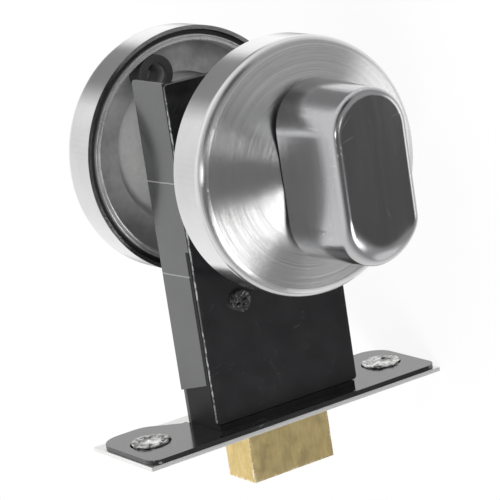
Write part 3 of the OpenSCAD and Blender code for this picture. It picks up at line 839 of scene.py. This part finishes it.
class Shop:
    """Modelling steps done with operators.

    Points closer than weld are merged, faces that differ by less than flat_angle are joined, edges
    sharper than edge_angle are bevelled, and smooth_angle is where smooth shading ends.
    """

    weld: float = 0.000002
    flat_angle: float = math.radians(0.6)
    edge_angle: float = math.radians(40.0)
    smooth_angle: float = math.radians(35.0)
    rough_angle: float = math.radians(50.0)

    @staticmethod
    def clear() -> None:
        """Leaves edit mode and deselects everything."""
        if bpy.context.mode != "OBJECT":
            bpy.ops.object.mode_set(mode="OBJECT")
        bpy.ops.object.select_all(action="DESELECT")

    @staticmethod
    def take(obj: bpy.types.Object) -> None:
        """Makes one object the only selected and active one.

        Args:
            obj: The object.
        """
        Shop.clear()
        obj.select_set(True)
        bpy.context.view_layer.objects.active = obj

    @staticmethod
    def apply(obj: bpy.types.Object, kind: str, **settings: object) -> None:
        """Adds a modifier, sets it up and applies it.

        Args:
            obj: The object.
            kind: The modifier's type name.
            settings: Its properties.
        """
        Shop.take(obj)
        modifier = obj.modifiers.new(kind.lower(), kind)
        for key, value in settings.items():
            setattr(modifier, key, value)
        bpy.ops.object.modifier_apply(modifier=modifier.name)

    @staticmethod
    def settle(obj: bpy.types.Object) -> None:
        """Puts an object's place, turn and size into its mesh."""
        Shop.take(obj)
        bpy.ops.object.transform_apply(location=True, rotation=True, scale=True)

    @staticmethod
    def smooth(obj: bpy.types.Object, angle: float) -> None:
        """Shades an object smooth where its faces meet at less than an angle."""
        Shop.take(obj)
        bpy.ops.object.shade_smooth_by_angle(angle=angle)

    @staticmethod
    def copy_of(node: str, name: str) -> bpy.types.Object:
        """Copies a CAD node's mesh and merges it into closed, plain faces.

        Args:
            node: The CAD node.
            name: The new piece's name.

        Returns:
            The new object, at the origin and on no body.
        """
        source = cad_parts[node]
        piece = bpy.data.objects.new(name, source.data.copy())
        bpy.context.scene.collection.objects.link(piece)
        Shop.take(piece)
        bpy.ops.object.mode_set(mode="EDIT")
        bpy.ops.mesh.select_all(action="SELECT")
        bpy.ops.mesh.remove_doubles(threshold=Shop.weld)
        bpy.ops.mesh.customdata_custom_splitnormals_clear()
        bpy.ops.mesh.dissolve_limited(angle_limit=Shop.flat_angle)
        bpy.ops.mesh.normals_make_consistent(inside=False)
        bpy.ops.object.mode_set(mode="OBJECT")
        return piece

    @staticmethod
    def slice_faces(piece: bpy.types.Object, at: Vec3, normal: Vec3,
                    chosen: Callable[[Vector], bool]) -> None:
        """Cuts some of a piece's faces along a plane.

        Args:
            piece: The piece.
            at: A point on the plane.
            normal: The plane's normal.
            chosen: Says from a face's middle whether it is cut.
        """
        Shop.take(piece)
        bpy.ops.object.mode_set(mode="EDIT")
        bpy.ops.mesh.select_mode(type="FACE")
        bpy.ops.mesh.select_all(action="DESELECT")
        bpy.ops.object.mode_set(mode="OBJECT")
        for face in piece.data.polygons:
            face.select = chosen(face.center)
        bpy.ops.object.mode_set(mode="EDIT")
        bpy.ops.mesh.bisect(plane_co=at, plane_no=normal)
        bpy.ops.object.mode_set(mode="OBJECT")

    @staticmethod
    def bevelled(node: str, body: Body, edging: Edging) -> None:
        """Replaces a CAD node by a copy with rounded edges.

        Args:
            node: The CAD node.
            body: The body that it rides on.
            edging: The copy's slot, finish and bevel.
        """
        piece = Shop.copy_of(node, f"{node}_edged")
        Shop.apply(piece, "BEVEL", width=edging.width, segments=edging.segments, limit_method="ANGLE",
                   angle_limit=Shop.edge_angle, harden_normals=False, use_clamp_overlap=True)
        Shop.smooth(piece, Shop.smooth_angle)
        Shop.apply(piece, "WEIGHTED_NORMAL", keep_sharp=True, weight=100)
        Paintbox.dress(piece, edging.finish or edging.slot)
        Shop.hand_over(piece, body, edging.slot, node)

    @staticmethod
    def rough_ring(name: str, at: Vec3, turn: Vec3, radius: float, width: float, height: float,
                   grain: float, throw: float, segments: int) -> bpy.types.Object:
        """Makes an uneven ring: a flattened torus pushed about by a cloudy texture.

        Args:
            name: The piece's name.
            at: The ring's middle.
            turn: Its rotation; its axis starts along Z.
            radius: Radius of the ring's core.
            width: Half the ring's width.
            height: Half its height.
            grain: Size of the unevenness.
            throw: How far the surface is pushed.
            segments: Steps round the ring.

        Returns:
            The new piece, on no body.
        """
        Shop.clear()
        bpy.ops.mesh.primitive_torus_add(major_segments=segments, minor_segments=10, major_radius=radius,
                                         minor_radius=width, location=at, rotation=turn)
        ring = bpy.context.active_object
        ring.name = ring.data.name = name
        ring.scale = (1.0, 1.0, height / width)
        Shop.settle(ring)
        clouds = bpy.data.textures.new(name + "_clouds", "CLOUDS")
        clouds.noise_scale, clouds.noise_depth = grain, 2
        Shop.apply(ring, "DISPLACE", texture=clouds, strength=throw, mid_level=0.5)
        Shop.smooth(ring, Shop.rough_angle)
        return ring

    @staticmethod
    def hand_over(piece: bpy.types.Object, body: Body, slot: Slot, *nodes: str) -> None:
        """Puts a finished piece on its body.

        Args:
            piece: The piece.
            body: The body that it rides on.
            slot: Its material slot; not used.
            nodes: The CAD nodes that it stands for.
        """
        Shop.clear()
        if nodes:
            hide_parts(*nodes)
        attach(piece, body.value)
        log.info("%s: %d faces, rides on %s", piece.name, len(piece.data.polygons), body.value)


@dataclass
class SubAssembly:
    """A group of pieces on one body.

    Attributes:
        body: The body that they ride on.
        dressed: The slot of each solid that stays.
        edged: The edging of each solid that is replaced by a copy with rounded edges.
    """

    body: Body = Body.LOCK
    dressed: dict[str, Slot] = field(default_factory=dict)
    edged: dict[str, Edging] = field(default_factory=dict)

    def dress(self) -> None:
        """Gives each solid that stays its finish."""
        for node, slot in self.dressed.items():
            Paintbox.dress(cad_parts[node], slot)
            log.info("%s: finished as %s", node, slot.value)

    def round_edges(self) -> None:
        """Replaces each solid that gets rounded edges."""
        for node, edging in self.edged.items():
            Shop.bevelled(node, self.body, edging)

    def build(self) -> None:
        """Makes the pieces of this group."""
        self.dress()
        self.round_edges()


@dataclass
class Faceplate(SubAssembly):
    """Faceplate, the flange behind it and the torn rims round its screw holes."""

    edged: dict[str, Edging] = field(default_factory=lambda: {
        "faceplate": Edging(Slot.PLATE, 0.00012),
        "case_base": Edging(Slot.BLACK, 0.00018)})
    rim_x: float = 0.00235
    rim_z: float = 0.03225
    rim_radius: float = 0.0035
    rim_width: float = 0.00095
    rim_height: float = 0.00042
    rim_grain: float = 0.0011
    rim_throw: float = 0.0011
    rim_steps: int = 64

    def build(self) -> None:
        """Rounds the edges of both plates and adds the torn rims."""
        super().build()
        for side, name in ((1, "upper"), (-1, "lower")):
            rim = Shop.rough_ring(
                f"burst_rim_{name}", (self.rim_x, 0.0, side * self.rim_z), (0.0, math.pi / 2, 0.0),
                self.rim_radius, self.rim_width, self.rim_height, self.rim_grain, self.rim_throw,
                self.rim_steps)
            Paintbox.dress(rim, Extra.BURST)
            Shop.hand_over(rim, self.body, Slot.PLATE)


@dataclass
class LockCase(SubAssembly):
    """Cover, band, guide and what holds the case together."""

    dressed: dict[str, Slot] = field(default_factory=lambda: {
        "case_pillars": Slot.ZINC, "spring_posts": Slot.ZINC, "detent_spring": Slot.SPRING,
        "hub_bushes": Slot.NYLON})
    edged: dict[str, Edging] = field(default_factory=lambda: {
        "case_cover": Edging(Slot.COVER, 0.00016),
        "case_band": Edging(Slot.BAND, 0.00014),
        "bolt_guide": Edging(Slot.BLACK, 0.00012, finish=Extra.GUIDE),
        "cover_screws": Edging(Slot.SCREW, 0.00008)})


@dataclass
class BoltSet(SubAssembly):
    """Brass head, steel tail and rivets."""

    body: Body = Body.BOLT
    dressed: dict[str, Slot] = field(default_factory=lambda: {
        "bolt_tail": Slot.ZINC, "bolt_rivets": Slot.ZINC})
    edged: dict[str, Edging] = field(default_factory=lambda: {
        "bolt_head": Edging(Slot.BRASS, 0.00028)})


@dataclass
class TurnSet(SubAssembly):
    """Hub, spindle, knob, release and indicator disc.

    The knob's face lies beyond knob_top, and the round of its lower end has its middle knob_half
    from the spindle. There the face has rolled over with wear: outside roll_from of the middle
    line its slope grows, by roll_power, to roll_slope at roll_to. The wear sets in along X
    between the two places of roll_end, which roll_slant turns a little.
    """

    body: Body = Body.TURN
    dressed: dict[str, Slot] = field(default_factory=lambda: {
        "hub": Slot.CAST, "crank_pin": Slot.ZINC, "spindle_pin": Slot.ZINC,
        "knob_washer": Slot.ZINC, "knob_circlip": Slot.SPRING,
        "release_washer": Slot.NYLON, "indicator_disc": Slot.DISC,
        "engaged_flag": Slot.RED, "vacant_flag": Slot.GREEN})
    edged: dict[str, Edging] = field(default_factory=lambda: {
        "spindle": Edging(Slot.ZINC, 0.0002),
        "release_turn": Edging(Slot.ROSE, 0.0002)})
    knob_top: float = -0.05
    knob_half: float = 0.00965
    roll_from: float = 0.0024
    roll_to: float = 0.0085
    roll_slope: float = 0.65
    roll_power: float = 1.6
    roll_end: Pair = (-0.0180, -0.0085)
    roll_slant: float = 0.2
    roll_grid: float = 0.0005

    def roll_drop(self, at: Vector) -> float:
        """Tells how far the knob's worn end has rolled over.

        Args:
            at: A point of the knob's face.

        Returns:
            How far it lies below the plain face.
        """
        x, z = at.x - SPINDLE_X, at.z
        reach = math.hypot(min(x + self.knob_half, 0.0), z) - self.roll_from
        span = self.roll_to - self.roll_from
        inner = min(max(reach / span, 0.0), 1.0) ** (self.roll_power + 1.0) * span / (self.roll_power + 1.0)
        far, near = self.roll_end
        low = min(max((near - x + self.roll_slant * z) / (near - far), 0.0), 1.0)
        return self.roll_slope * (inner + max(reach - span, 0.0)) * low * low * (3.0 - 2.0 * low)

    def rolled_knob(self) -> None:
        """Replaces the knob by one whose lower end has rolled over with wear."""
        knob = Shop.copy_of("turn_knob", "turn_knob_rolled")
        high = max(v.co.x for v in knob.data.vertices)
        low = min(v.co.x for v in knob.data.vertices)
        side = max(v.co.z for v in knob.data.vertices)
        for step in range(1, int((high - low) / 2 / self.roll_grid)):
            Shop.slice_faces(knob, (low + step * self.roll_grid, 0.0, 0.0), (1.0, 0.0, 0.0),
                             lambda middle: middle.y < self.knob_top)
        for step in range(1, int(2 * side / self.roll_grid)):
            Shop.slice_faces(knob, (0.0, 0.0, step * self.roll_grid - side), (0.0, 0.0, 1.0),
                             lambda middle: middle.y < self.knob_top and middle.x < (high + low) / 2)
        group = knob.vertex_groups.new(name="roll")
        most = max(self.roll_drop(v.co) for v in knob.data.vertices)
        for vertex in knob.data.vertices:
            if vertex.co.y < self.knob_top:
                group.add([vertex.index], self.roll_drop(vertex.co) / most, "REPLACE")
        Shop.apply(knob, "DISPLACE", direction="Y", mid_level=0.0, strength=most, vertex_group=group.name)
        Shop.smooth(knob, Shop.smooth_angle)
        Paintbox.dress(knob, Slot.KNOB)
        Shop.hand_over(knob, self.body, Slot.KNOB, "turn_knob")

    def build(self) -> None:
        """Dresses the turning pieces, wears the knob and rounds the spindle and the release."""
        self.dress()
        self.rolled_knob()
        self.round_edges()


@dataclass
class Roses(SubAssembly):
    """Both roses with their liners, bases, ferrules and the window."""

    # The liners and the knob's bush are black partly as painted shade in the gaps they sit in.
    dressed: dict[str, Slot] = field(default_factory=lambda: {
        "turn_rose_cap": Slot.ROSE, "turn_rose_liner": Slot.PLASTIC, "turn_rose_base": Slot.CAST,
        "indicator_rose_cap": Slot.ROSE, "indicator_rose_liner": Slot.PLASTIC,
        "indicator_rose_base": Slot.CAST, "knob_bush": Slot.PLASTIC, "indicator_window": Slot.WINDOW})
    edged: dict[str, Edging] = field(default_factory=lambda: {
        "fixing_ferrules": Edging(Slot.PLASTIC, 0.0003, segments=3, finish=Extra.SLEEVE)})
    line_faces: tuple[tuple[str, float], ...] = (("turn", -0.02122), ("indicator", 0.01502))
    line_radii: tuple[float, ...] = (0.02595, 0.02505)
    line_width: float = 0.00016
    line_height: float = 0.00012
    line_grain: float = 0.0007
    line_throw: float = 0.00018
    line_steps: int = 360

    def build(self) -> None:
        """Dresses the roses, rounds the ferrules and adds the rough lines on the bases' rims."""
        super().build()
        for rose, y in self.line_faces:
            for number, radius in enumerate(self.line_radii, start=1):
                line = Shop.rough_ring(
                    f"{rose}_rim_line_{number}", (SPINDLE_X, y, 0.0), (math.pi / 2, 0.0, 0.0),
                    radius, self.line_width, self.line_height, self.line_grain, self.line_throw,
                    self.line_steps)
                Paintbox.dress(line, Extra.BEAD)
                Shop.hand_over(line, self.body, Slot.CAST)


# ---------------------------------------------------------------- stage


@dataclass(frozen=True)
class Card:
    """A soft round patch of the room that is lighter or darker than what is round it.

    Attributes:
        towards: The way from the lock to its middle.
        edge: The cosine of the angle from its middle to its outside.
        core: The same, to where it is full.
        level: Its brightness.
    """

    towards: Vec3
    edge: float
    core: float
    level: float


@dataclass(frozen=True)
class Lamp:
    """A soft square lamp: its name, place, width and power."""

    name: str
    at: Vec3
    size: float
    watts: float


@dataclass
class Stage:
    """Camera, floor, world and lamps."""

    camera_at: Vec3 = (0.1760, -0.4823, 0.2994)
    camera_right: Vec3 = (-0.147, -0.553, -0.820)
    camera_up: Vec3 = (0.961, 0.118, -0.252)
    lens: float = 186.28
    sensor: float = 36.0
    clip: Pair = (0.01, 20.0)
    floor_z: float = -0.0402
    floor_size: float = 8.0
    floor_grey: float = 0.86
    floor_roughness: float = 0.9
    floor_glow: float = 0.90
    lamps: tuple[Lamp, ...] = (
        Lamp("key", (-0.55, -0.65, 0.55), 0.5, 9.0),
        Lamp("fill", (0.7, -0.3, 0.5), 0.6, 4.0),
    )
    lamp_aim: Vec3 = (0.05, -0.01, 0.0)
    # The room's level goes over from the viewer's side to the side behind the lock, along Y.
    room_depths: Pair = (-0.35, 0.15)
    room_levels: Pair = (0.47, 1.12)
    room_light: float = 0.85
    mirror_extra: float = 0.15
    # Three cards behind the lock, six dark ones on the viewer's side and five bright ones.
    cards: tuple[Card, ...] = (
        Card((0.6, 0.8, -0.02), 0.90, 0.97, 0.35),
        Card((0.236, 0.825, -0.514), 0.92, 0.97, 1.25),
        Card((-0.242, 0.776, -0.582), 0.92, 0.985, 0.45),
        Card((0.815, -0.515, 0.223), 0.93, 0.97, 0.1),
        Card((0.557, -0.556, 0.617), 0.93, 0.98, 0.18),
        Card((-0.236, -0.787, 0.571), 0.88, 0.96, 0.18),
        Card((-0.185, -0.972, -0.149), 0.935, 0.985, 0.2),
        Card((-0.236, -0.825, -0.514), 0.945, 0.985, 0.13),
        Card((0.349, -0.784, -0.514), 0.90, 0.96, 0.54),
        Card((-0.53, -0.84, 0.08), 0.957, 0.977, 3.7),
        Card((0.126, -0.985, 0.113), 0.993, 0.997, 2.6),
        Card((0.05, -0.552, 0.834), 0.992, 0.997, 5.0),
        Card((-0.07, -0.487, -0.871), 0.96, 0.975, 1.8),
        Card((-0.78, -0.38, -0.50), 0.955, 0.985, 1.15),
    )

    def camera(self) -> None:
        """Makes the camera at the photographed angle."""
        data = bpy.data.cameras.new("camera")
        data.lens, data.sensor_width = self.lens, self.sensor
        data.clip_start, data.clip_end = self.clip
        camera = bpy.data.objects.new("camera", data)
        bpy.context.scene.collection.objects.link(camera)
        right, up = Vector(self.camera_right).normalized(), Vector(self.camera_up)
        up = (up - right * up.dot(right)).normalized()
        back = right.cross(up)
        turn = Matrix((right, up, back)).transposed()
        camera.matrix_world = Matrix.Translation(self.camera_at) @ turn.to_4x4()
        bpy.context.scene.camera = camera

    def floor(self) -> None:
        """Makes the pale floor, which shows as white with a light shadow."""
        Shop.clear()
        bpy.ops.mesh.primitive_plane_add(size=self.floor_size, location=(0.0, 0.0, self.floor_z))
        floor = bpy.context.active_object
        floor.name = "floor"
        Shop.settle(floor)
        material = bpy.data.materials.new("floor_white")
        material.use_nodes = True
        g = Graph(material.node_tree)
        shader = material.node_tree.nodes["Principled BSDF"]
        shader.inputs["Base Color"].default_value = (self.floor_grey,) * 3 + (1.0,)
        shader.inputs["Roughness"].default_value = self.floor_roughness
        glow = g.add("ShaderNodeEmission", {"Color": (1.0, 1.0, 1.0, 1.0), "Strength": 1.0})
        path = g.add("ShaderNodeLightPath")
        seen = g.math("MULTIPLY", path.outputs["Is Camera Ray"], self.floor_glow)
        mixed = g.add("ShaderNodeMixShader", {0: seen, 1: shader.outputs[0], 2: glow.outputs[0]})
        output = material.node_tree.nodes["Material Output"]
        material.node_tree.links.new(mixed.outputs[0], output.inputs[0])
        floor.data.materials.append(material)
        floor.visible_glossy = False

    def world(self) -> None:
        """Lights the room: white behind the lock, darker where the viewer stands."""
        world = bpy.data.worlds.new("room")
        bpy.context.scene.world = world
        world.use_nodes = True
        g = Graph(world.node_tree)
        back = world.node_tree.nodes["Background"]
        way = g.add("ShaderNodeTexCoord").outputs["Generated"]
        depth = g.add("ShaderNodeSeparateXYZ", {0: way}).outputs[1]
        room = g.remap(depth, *self.room_depths, *self.room_levels)
        for card in self.cards:
            near = g.add("ShaderNodeVectorMath", {0: way, 1: Vector(card.towards).normalized()},
                         operation="DOT_PRODUCT").outputs["Value"]
            share = g.remap(near, card.edge, card.core, 0.0, 1.0)
            room = g.add("ShaderNodeMix", {0: share, 2: room, 3: card.level}).outputs[0]
        path = g.add("ShaderNodeLightPath")
        shows = g.math("MAXIMUM", path.outputs["Is Glossy Ray"], path.outputs["Is Transmission Ray"])
        level = g.math("ADD", g.math("MULTIPLY", shows, self.mirror_extra), self.room_light)
        seen = path.outputs["Is Camera Ray"]
        lit = g.math("MULTIPLY", room, level)
        strength = g.add("ShaderNodeMix", {0: seen, 2: lit, 3: 1.0}).outputs[0]
        back.inputs["Color"].default_value = (1.0, 1.0, 1.0, 1.0)
        world.node_tree.links.new(strength, back.inputs["Strength"])

    def light(self, lamp: Lamp) -> None:
        """Makes one lamp that looks at the lock.

        Args:
            lamp: The lamp's facts.
        """
        data = bpy.data.lights.new(lamp.name, "AREA")
        data.size, data.energy = lamp.size, lamp.watts
        made = bpy.data.objects.new(lamp.name, data)
        bpy.context.scene.collection.objects.link(made)
        made.location = lamp.at
        aim = Vector(self.lamp_aim) - Vector(lamp.at)
        made.rotation_euler = aim.to_track_quat("-Z", "Y").to_euler()
        made.visible_glossy = False

    def build(self) -> None:
        """Makes everything round the lock."""
        self.camera()
        self.floor()
        self.world()
        for lamp in self.lamps:
            self.light(lamp)
        bpy.context.scene.view_settings.view_transform = "Standard"


def main() -> None:
    """Builds the stage and every sub-assembly in order."""
    logging.basicConfig(level=logging.INFO, format="%(message)s")
    Stage().build()
    for group in (Faceplate(), LockCase(), BoltSet(), TurnSet(), Roses()):
        group.build()
    Shop.clear()


if __name__ == "__main__":
    main()
